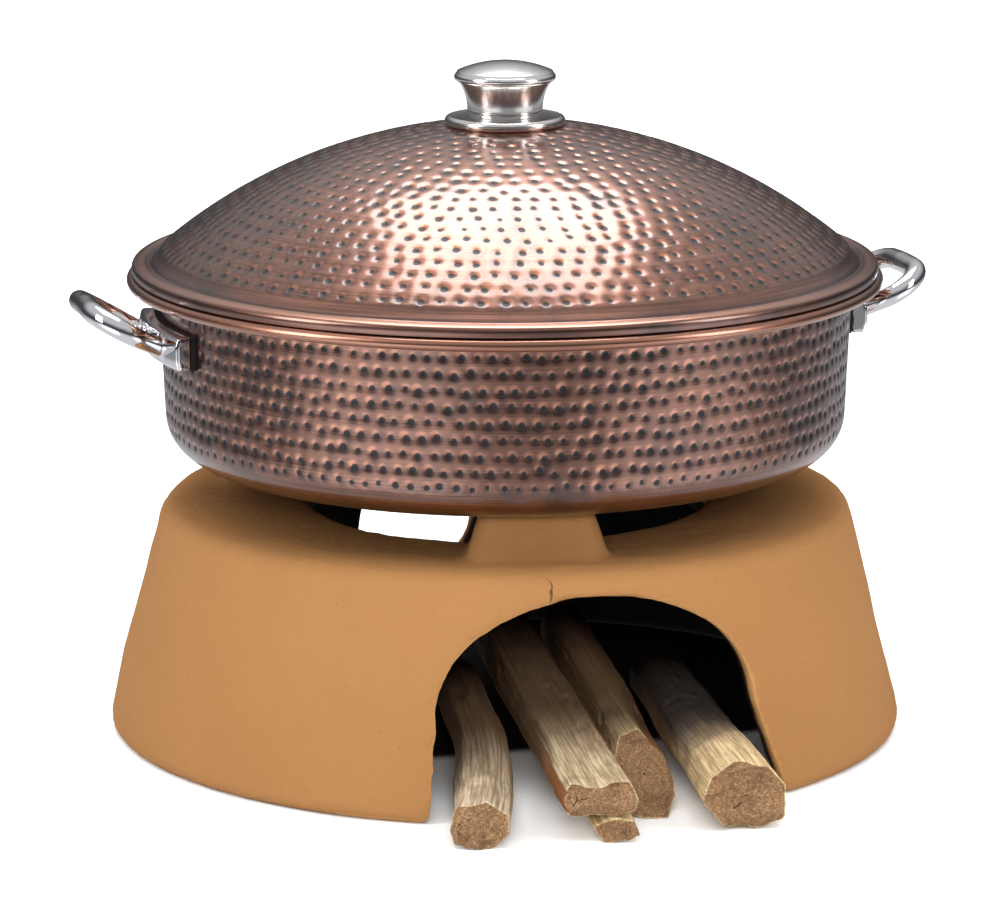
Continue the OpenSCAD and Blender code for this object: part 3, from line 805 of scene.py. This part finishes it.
def handle_plate(middle_z):
    """The plate that follows the wall, with a slight swell along its middle."""
    angle = np.radians(np.linspace(-PLATE_HALF_DEG, PLATE_HALF_DEG, 61))
    ring = []
    for out, up in PLATE_SECTION:
        swell = PLATE_SWELL if out > 0.9 and abs(up) < 0.5 else 0
        ring.append((PLATE_IN_R + PLATE_T * out + swell, middle_z + PLATE_HALF_H * up))
    r, z = np.array(ring).T
    points = np.stack([r[None] * np.cos(angle)[:, None], r[None] * np.sin(angle)[:, None],
                       np.repeat(z[None], len(angle), 0)], 2).reshape(-1, 3)
    count, last = len(ring), (len(angle) - 1) * len(ring)
    faces = grid_faces(len(angle), count).tolist()
    faces += [list(range(count)), list(range(last, last + count))[::-1]]
    return mesh_object("plate", points, faces)


def make_handle(side, body, material):
    """One casting: a loop on a curved plate; side is 1 on +X and -1 on -X."""
    name = "right_handle" if side > 0 else "left_handle"
    middle_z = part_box(name)[0].z + PLATE_HALF_H
    root_r = PLATE_IN_R + PLATE_T - 2 * MM
    parts = [handle_loop(root_r, middle_z), handle_plate(middle_z)]
    for root in (-1, 1):
        bpy.ops.mesh.primitive_uv_sphere_add(radius=ROOT_R, segments=24, ring_count=16,
                                             location=(0, 0, 0))
        ball = bpy.context.object
        spot = np.array([root_r + 2.2 * MM, root * LOOP_ROOT, middle_z + 1.0 * MM])
        move_points(ball, points_of(ball) + spot)
        parts.append(ball)
    made = joined(name + "_casting", parts)
    remeshed(made, 0.75 * MM, 7)
    if side < 0:
        move_points(made, points_of(made) * [-1, -1, 1])
    made.data.materials.clear()
    made.data.materials.append(material)
    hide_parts(name)
    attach(made, body)


# ---------------------------------------------------------------- stove

FOOT_R = 198 * MM
WALL_SLOPE = 0.248
# Unevenness of the clay: how much, over what length, and the seed
CLAY_RIPPLES = [(0.55 * MM, 120 * MM, 1), (0.22 * MM, 34 * MM, 2), (0.10 * MM, 11 * MM, 3)]


def uneven(points):
    """How far hand-shaping and brushing push the clay in or out, fading to the floor."""
    lift = sum(size * smooth_noise(points, ripple, seed) for size, ripple, seed in CLAY_RIPPLES)
    return lift * (1 - np.clip(1 - points[:, 2] / (6 * MM), 0, 1))


def mark_stove(made, points, normals):
    """Stores soot and painted shade inside, painted shade on the top land round the opening, and
    where the mouth's edge is pale.
    """
    reach = np.hypot(points[:, 0], points[:, 1])
    towards_axis = normals[:, 0] * points[:, 0] + normals[:, 1] * points[:, 1]
    inward = -towards_axis / np.maximum(reach, MM)
    below = (points[:, 2] < stove_high.z - 30 * MM) & (inward > -0.2)
    outer_r = FOOT_R - WALL_SLOPE * points[:, 2]
    ragged = 1.2 * MM * smooth_noise(points, 14 * MM, 4)
    inside = np.clip((outer_r - reach + ragged - 6 * MM) / (3.5 * MM), 0, 1)
    x, y, z = points.T
    at_mouth = (y < -100 * MM) & (np.abs(x) < 125 * MM) & (z < 100 * MM)
    lip = np.clip((0.88 + inward) / 0.3, 0, 1) * (1 - inside) * at_mouth
    on_top = np.clip((z - stove_high.z + 27 * MM) / (3 * MM), 0, 1)
    # Painted shade: the top land round the opening darkens where the pot shades it
    top_shade = 0.22 * on_top * np.clip((158 * MM - reach) / (26 * MM), 0, 1)
    set_attribute(made, "lip", lip)
    set_attribute(made, "soot_and_shade", np.maximum(np.where(below, inside, 0.0), top_shade))


def make_stove(material):
    """The moulded clay body with softened edges and a hand-made surface."""
    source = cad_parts["stove_body"]
    made = bpy.data.objects.new("stove_clay", source.data.copy())
    bpy.context.scene.collection.objects.link(made)
    remeshed(made, 2.0 * MM, 12)
    points, normals = points_of(made), normals_at(made)
    points = points + normals * uneven(points)[:, None]
    points[:, 2] = np.maximum(points[:, 2], 0)
    move_points(made, points)
    mark_stove(made, points, normals)
    made.data.materials.clear()
    made.data.materials.append(material)
    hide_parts("stove_body")
    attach(made, "stove")


# ---------------------------------------------------------------- firewood


LOG_COLS = 150
LOG_ROW = 2.0 * MM
FEWEST_LOG_ROWS = 40
CAP_ROWS = 12
BACK_ROWS = (0.8, 0.4, 0.05)
CORNER_ROUNDS = 4
FIBRE_WAVES = 30
FIBRE_LIFT = 0.17 * MM
LUMP_LIFT = 0.75 * MM
KNOT_LIFT = 0.25 * MM
CHIP_LIFT = 1.6 * MM
FINE_TEAR = 0.45 * MM
TEAR_EASE = 16 * MM


def section_points(corners):
    """Evenly spaced points round a closed outline whose corners are softened."""
    ring = np.array(list(corners) + [corners[0]], float)
    sides = len(ring) - 1
    at = np.arange(LOG_COLS) * sides / LOG_COLS
    even = np.stack([np.interp(at, np.arange(len(ring)), ring[:, k]) for k in range(2)], 1)
    for _ in range(CORNER_ROUNDS):
        even = 0.5 * even + 0.25 * (np.roll(even, 1, 0) + np.roll(even, -1, 0))
    return even


def fibre_relief(s, around, rng):
    """Fibres standing out along a log: the sum of many ridged waves that wander."""
    relief = np.zeros((len(s), len(around)))
    for _ in range(FIBRE_WAVES):
        turns = rng.integers(6, 60)
        phase = rng.uniform(0, TURN) + rng.uniform(-1, 1) * np.sin(s * rng.uniform(8, 25))[:, None]
        swell = 0.6 + 0.4 * np.sin(s * rng.uniform(20, 90) + rng.uniform(0, TURN))[:, None]
        wave = 1 - 2 * np.abs(np.sin(TURN * around[None, :] * turns / 2 + phase)) ** 0.7
        relief += wave * swell * rng.uniform(0.3, 1.0) * 9 / (9 + turns)
    return relief


def log_side(s, near_end, far_end, around, seed):
    """The split face across a log at each step along it: its x and its z."""
    share = (s / s[-1])[:, None, None]
    section = near_end[None] * (1 - share) + far_end[None] * share
    outward = section - section.mean(1, keepdims=True)
    outward /= np.linalg.norm(outward, axis=2, keepdims=True)
    shape = section.shape[:2]
    fibre = fibre_relief(s, around, np.random.default_rng(seed))
    along = np.broadcast_to(s[:, None], shape)
    stretched = np.stack([section[:, :, 0], along, section[:, :, 1]], 2).reshape(-1, 3) * [1, 0.28, 1]
    lump = smooth_noise(stretched, 30 * MM, seed).reshape(shape)
    knots = smooth_noise(stretched * [1, 1.6, 1], 12 * MM, seed + 50).reshape(shape)
    chips = np.clip(knots - 0.9, 0, 1)
    lift = FIBRE_LIFT * fibre + LUMP_LIFT * lump - CHIP_LIFT * chips + KNOT_LIFT * knots
    return section[:, :, 0] + lift * outward[:, :, 0], section[:, :, 1] + lift * outward[:, :, 1]


def torn(x, z, ragged, seed):
    """How far the broken end stands out at points across it."""
    where = np.stack([x, np.zeros_like(x), z], -1).reshape(-1, 3)
    coarse = smooth_noise(where, 17 * MM, seed + 7)
    fine = smooth_noise(where, 4 * MM, seed + 8)
    return (ragged * MM * coarse + FINE_TEAR * fine).reshape(x.shape)


def log_grid(length, near_end, far_end, bend, cut, seed, ragged):
    """A log's skin in its own frame: front cap, sides and back cap as rows of points."""
    rows = max(FEWEST_LOG_ROWS, round(length / LOG_ROW))
    s = np.linspace(0, length, rows)
    x, z = log_side(s, near_end, far_end, np.arange(LOG_COLS) / LOG_COLS, seed)
    x = x + bend(s)[:, None]
    y = np.repeat(s[:, None], LOG_COLS, 1)
    tear = torn(np.repeat(x[:1], rows, 0), np.repeat(z[:1], rows, 0), ragged, seed)
    y = y + np.exp(-s / TEAR_EASE)[:, None] * tear
    y = y + cut(z) * np.clip(1 - s / (length * 0.55), 0, 1)[:, None]
    side = np.stack([x, y, z], 2)
    middle, end = side[0].mean(0), side[-1].mean(0)
    caps = []
    for k in range(CAP_ROWS):
        ring = middle + (side[0] - middle) * (k + 0.3) / CAP_ROWS
        ring[:, 1] = cut(ring[:, 2]) + torn(ring[:, 0], ring[:, 2], ragged, seed)
        caps.append(ring)
    back = [end + (side[-1] - end) * t for t in BACK_ROWS]
    grid = np.concatenate([np.array(caps), side, np.array(back)])
    grid[:, :, 2] = np.maximum(grid[:, :, 2], 0.15 * MM)
    return grid, middle


def mark_log(made, grid, middle, length, perimeter, facet_from, seed):
    """Stores what the wood material reads: grain, ends, rings, brown facet, depth and char."""
    total = len(grid)
    flat, y, z = grid.reshape(-1, 3), grid[:, :, 1], grid[:, :, 2]
    around = np.arange(LOG_COLS) / LOG_COLS
    is_cap = np.zeros(grid.shape[:2])
    is_cap[:CAP_ROWS] = 1
    is_cap[-len(BACK_ROWS):] = 1
    heart = middle[[0, 2]] + [3 * MM, -2 * MM]
    first, last = facet_from
    facet = np.clip((around - first) / 0.01, 0, 1) * np.clip((last - around) / 0.01, 0, 1)
    drift = 12 * MM * smooth_noise(flat, 40 * MM, seed + 3).reshape(total, LOG_COLS)
    high = np.clip((z - 0.45 * z.max()) / (8 * MM), 0, 1)
    set_attribute(made, "along", y)
    set_attribute(made, "around", np.tile(around * perimeter, total))
    set_attribute(made, "end", is_cap)
    set_attribute(made, "ring", np.linalg.norm(grid[:, :, [0, 2]] - heart, axis=2))
    set_attribute(made, "facet", np.tile(facet, total))
    set_attribute(made, "deep", np.clip((y + drift - 45 * MM) / (65 * MM), 0, 1))
    # Painted shade towards each log's back end, inside the stove
    set_attribute(made, "far", 0.94 * np.clip((y - length + 75 * MM) / (60 * MM), 0, 1))
    set_attribute(made, "char", high * np.clip((y - 30 * MM) / (50 * MM), 0, 1))


def straight(s):
    return np.zeros(len(s))


def square_end(z):
    return np.zeros(np.shape(z))


def make_log(name, node_name, body, material, front, heading, length, near_end, far_end,
             bend=straight, cut=square_end, seed=1, facet_from=(1, 0), ragged=2.2):
    """A split log lying along the floor, from its front end at front to its back inside."""
    near_end, far_end = section_points(near_end), section_points(far_end)
    grid, middle = log_grid(length, near_end, far_end, bend, cut, seed, ragged)
    flat = grid.reshape(-1, 3)
    c, sn = math.cos(-heading), math.sin(-heading)
    placed = np.stack([front[0] + flat[:, 0] * c - flat[:, 1] * sn,
                       front[1] + flat[:, 0] * sn + flat[:, 1] * c, flat[:, 2]], 1)
    made = mesh_object(name, placed, grid_faces(len(grid), LOG_COLS)[:, ::-1])
    perimeter = run_of(np.vstack([near_end, near_end[:1]]))[-1]
    mark_log(made, grid, middle, length, perimeter, facet_from, seed)
    made.data.materials.append(material)
    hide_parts(node_name)
    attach(made, body)


def scaled(corners, width, height):
    """Outline corners given as shares of a width, from its middle, and a height."""
    return [(x * width * MM, z * height * MM) for x, z in corners]


def shifted(corners, x, z):
    return [(a + x * MM, b + z * MM) for a, b in corners]


PALE, DARK = (0.82, 0.63, 0.36), (0.34, 0.225, 0.12)
# Log ends, as shares of a width from its middle and of a height
SLAB_NEAR = [(-0.42, 0), (0.2, -0.02), (0.5, 0.12), (0.53, 0.55), (0.40, 1.06), (-0.05, 0.93),
             (-0.40, 1.05), (-0.5, 0.55)]
SLAB_FAR = [(-0.40, 0), (0.2, 0), (0.5, 0.2), (0.52, 0.7), (0.36, 0.97), (0, 1.0), (-0.38, 0.94),
            (-0.5, 0.5)]
MIDDLE_NEAR = [(-0.3, 0.03), (0.25, 0.0), (0.48, 0.30), (0.46, 0.72), (0.1, 1.04), (-0.25, 0.96),
               (-0.5, 0.5)]
MIDDLE_FAR = [(-0.35, 0.03), (0.3, 0.05), (0.5, 0.4), (0.36, 0.88), (-0.05, 1.0), (-0.38, 0.86),
              (-0.48, 0.4)]
THICK_NEAR = [(-0.26, 0.03), (0.18, 0.0), (0.44, 0.13), (0.45, 0.62), (0.24, 0.98), (-0.14, 1.03),
              (-0.44, 0.84), (-0.5, 0.42)]
THICK_FAR = [(-0.28, 0.05), (0.1, 0.0), (0.42, 0.25), (0.45, 0.6), (0.2, 1.0), (-0.25, 0.97),
             (-0.45, 0.7), (-0.46, 0.4)]
SPLIT_NEAR = [(-0.3, 0), (0.3, 0), (0.52, 0.4), (0.45, 0.9), (-0.1, 1.0), (-0.5, 0.6)]
SPLIT_FAR = [(-0.3, 0), (0.2, 0), (0.38, 0.4), (0.3, 1), (-0.3, 0.98), (-0.5, 0.6)]
STICK_NEAR = [(-0.44, 0.06), (0.2, 0.0), (0.52, 0.30), (0.5, 0.66), (0.12, 0.98), (-0.4, 0.86),
              (-0.54, 0.4)]
STICK_FAR = [(-0.34, 0.06), (0.2, 0.0), (0.5, 0.38), (0.36, 0.86), (0.0, 1.0), (-0.4, 0.8),
             (-0.5, 0.4)]
SLAB_LIFT = 13.4
HEADING = math.radians(7.5)
CUT_LEAN = 1.9
STICK_TURN = math.radians(16)
STICK_BOW_R = 0.250 / STICK_TURN


def slanting_cut(z):
    return (z - 2 * MM) * CUT_LEAN


def stick_bow(s):
    """How far the bent stick stands aside at each step along it."""
    return STICK_BOW_R * (np.cos(s / STICK_BOW_R - STICK_TURN / 2) - math.cos(STICK_TURN / 2))


def make_firewood():
    plain = wood_material("pale_split", PALE, DARK, (0.30, 0.155, 0.070), 0.3)
    burnt = wood_material("charred_split", PALE, DARK, (0.36, 0.22, 0.11), 0.85)
    grey = wood_material("weathered_split", (0.74, 0.60, 0.38), (0.26, 0.18, 0.10),
                         (0.22, 0.11, 0.05), 0.4)
    bark = wood_material("grey_stick", (0.72, 0.58, 0.40), (0.24, 0.17, 0.11),
                         (0.12, 0.07, 0.04), 0.3)
    make_log("slab_wood", "log_slab", "slab", grey, (-22 * MM, -225 * MM), HEADING, 0.290,
             shifted(scaled(SLAB_NEAR, 35, 15), 1, SLAB_LIFT),
             shifted(scaled(SLAB_FAR, 32, 23), 0, SLAB_LIFT),
             seed=11, facet_from=(0.80, 0.97), ragged=2.6)
    make_log("middle_wood", "log_middle", "middle", plain, (14.5 * MM, -190 * MM),
             math.radians(8), 0.258, scaled(MIDDLE_NEAR, 28, 28.5), scaled(MIDDLE_FAR, 26, 37),
             seed=12, cut=slanting_cut, facet_from=(0.30, 0.52), ragged=0.9)
    make_log("thick_wood", "log_thick", "thick", burnt, (50.5 * MM, -222 * MM), HEADING, 0.213,
             scaled(THICK_NEAR, 40, 32), scaled(THICK_FAR, 34, 30), seed=13, ragged=2.4)
    make_log("split_wood", "log_split", "split", plain, (-13 * MM, -226 * MM), HEADING, 0.288,
             scaled(SPLIT_NEAR, 20, 12.6), scaled(SPLIT_FAR, 18, 12.6),
             seed=14, facet_from=(0.3, 0.45), ragged=3.2)
    make_log("stick_wood", "log_stick", "stick", bark, (-76 * MM, -216 * MM),
             math.radians(12.75), 0.247, scaled(STICK_NEAR, 27, 23), scaled(STICK_FAR, 24, 25),
             seed=15, bend=stick_bow, ragged=1.5)


# ---------------------------------------------------------------- studio


# Where the painted shadow lies on the floor inside the stove
HEARTH_R = 188 * MM
HEARTH_Y = -64 * MM
FLOOR_HALF = 12
PAPER_DARK, PAPER_LIGHT = colour(0.90, 0.90, 0.90), colour(0.94, 0.94, 0.94)
FLOOR_SHADOW = colour(0.010, 0.009, 0.008)
HORIZON, CEILING = colour(0.06, 0.06, 0.065), colour(0.62, 0.62, 0.63)
GROUND, GLOW = colour(0.74, 0.74, 0.77), colour(2.1, 2.1, 2.15)
# Bearings from the camera's side at which the ground is brighter, and how much
GLOWS = [(-42, 1.0), (62, 0.8)]


def area_light(name, place_at, aim, size, power, in_gloss=True):
    """A rectangular lamp; in_gloss says whether metals reflect it."""
    light = bpy.data.lights.new(name, "AREA")
    light.shape = "RECTANGLE"
    light.size, light.size_y = size
    light.energy = power
    made = bpy.data.objects.new(name, light)
    made.location = place_at
    made.visible_glossy = in_gloss
    made.rotation_euler = (Vector(aim) - Vector(place_at)).to_track_quat("-Z", "Y").to_euler()
    bpy.context.scene.collection.objects.link(made)


def seen_from_camera(turn_deg, distance, height):
    """A point at a bearing from the camera's side of the pot, positive to the right."""
    a = CAMERA_AZIMUTH + math.radians(turn_deg)
    return Vector((math.sin(a) * distance, -math.cos(a) * distance, height))


def make_camera():
    cam_data = bpy.data.cameras.new("camera")
    cam_data.lens = CAMERA_LENS
    cam_data.sensor_width = 36
    cam_data.shift_x = CAMERA_SHIFT
    cam_data.clip_end = 50
    camera = bpy.data.objects.new("camera", cam_data)
    camera.location = seen_from_camera(0, CAMERA_DISTANCE, CAMERA_HEIGHT)
    back = seen_from_camera(0, math.cos(CAMERA_PITCH), math.sin(CAMERA_PITCH))
    camera.rotation_euler = (-back).to_track_quat("-Z", "Y").to_euler()
    bpy.context.scene.collection.objects.link(camera)
    bpy.context.scene.camera = camera


def make_floor():
    """White paper with a painted shadow under the stove; metals don't reflect it."""
    f = FLOOR_HALF
    floor = mesh_object("floor", [(-f, -f, 0), (f, -f, 0), (f, f, 0), (-f, f, 0)],
                        [[0, 1, 2, 3]], False)
    material, tree, shader = new_material("white_paper")
    own = place(tree)
    paper = mixed(tree, cloud(tree, own, 300.0, 3.0, 0.5), PAPER_DARK, PAPER_LIGHT)
    axes = node(tree, "ShaderNodeSeparateXYZ", {0: own}).outputs
    reach = node(tree, "ShaderNodeVectorMath", {0: own}, operation="LENGTH").outputs["Value"]
    # Painted shadow on the floor inside the stove, behind the mouth
    floor_shadow = calc(tree, "MULTIPLY", fade(tree, reach, HEARTH_R, HEARTH_R - 6 * MM),
               fade(tree, axes[1], HEARTH_Y - 12 * MM, HEARTH_Y))
    plug(tree, shader.inputs["Base Color"], mixed(tree, floor_shadow, paper, FLOOR_SHADOW))
    shader.inputs["Roughness"].default_value = 0.9
    floor.data.materials.append(material)
    floor.visible_glossy = False


def make_lights():
    around = seen_from_camera
    area_light("key_left", around(-62, 1.7, 0.95), (0, 0, 0.2), (0.6, 1.3), 17)
    area_light("key_right", around(66, 1.7, 0.85), (0, 0, 0.2), (0.5, 1.2), 12)
    area_light("top", around(180, 0.55, 1.9), (0, 0, 0.25), (1.1, 1.2), 27)
    area_light("front_fill", around(3, 2.0, 0.80), (0, 0, 0.08), (1.0, 0.4), 22, False)
    area_light("sweep", around(180, 3.2, 2.6), around(180, 3.4, 0), (5.0, 3.0), 150, False)
    area_light("floor_front", around(0, 1.2, 2.2), around(0, 1.0, 0.0), (2.2, 1.2), 34, False)


def make_studio():
    make_camera()
    make_floor()
    make_lights()
    bpy.context.scene.world = studio_walls()
    bpy.context.scene.view_settings.view_transform = "Standard"


def studio_walls():
    """A dim studio: a light ceiling, a dark horizon, and a ground lit more on two sides."""
    world = bpy.data.worlds.new("studio")
    world.use_nodes = True
    tree = world.node_tree
    way = node(tree, "ShaderNodeTexCoord").outputs["Generated"]
    height = node(tree, "ShaderNodeSeparateXYZ", {0: way}).outputs[2]
    ceiling = fade(tree, height, 0.08, 0.70)
    ground = fade(tree, height, -0.04, -0.45)
    lit = mixed(tree, ceiling, HORIZON, CEILING)
    lit = mixed(tree, ground, lit, GROUND)
    for turn_deg, strength in GLOWS:
        lobe = node(tree, "ShaderNodeVectorMath", {0: way, 1: seen_from_camera(turn_deg, 1, -0.3)},
                    operation="DOT_PRODUCT").outputs["Value"]
        lobe = calc(tree, "MULTIPLY", fade(tree, lobe, 0.84, 1.02), ground)
        lit = mixed(tree, calc(tree, "MULTIPLY", lobe, strength), lit, GLOW)
    plug(tree, tree.nodes["Background"].inputs["Color"], lit)
    tree.nodes["Background"].inputs["Strength"].default_value = 1.0
    return world


# ---------------------------------------------------------------- build

copper = copper_material("hammered_copper")
lining_steel = steel_material("lining_steel", (0.62, 0.61, 0.60), 0.24, True)
knob_steel = steel_material("turned_steel", (0.82, 0.80, 0.78), 0.16, True)
chrome = steel_material("polished_steel", (0.80, 0.80, 0.82), 0.05, False, 0.03)
screw_steel = steel_material("screw_steel", (0.55, 0.55, 0.56), 0.25, False)

make_pot(copper, lining_steel)
make_lid(copper, lining_steel)
make_knob(knob_steel)
make_handle(1, "pot", chrome)
make_handle(-1, "pot", chrome)
make_stove(clay_material())
make_firewood()

rubber = gasket_material()
for gasket in ("left_gasket", "right_gasket"):
    paint(gasket, rubber)
for fitting in ("handle_screws", "handle_washers", "knob_screw", "knob_washer", "lid_collar"):
    paint(fitting, screw_steel)

make_studio()
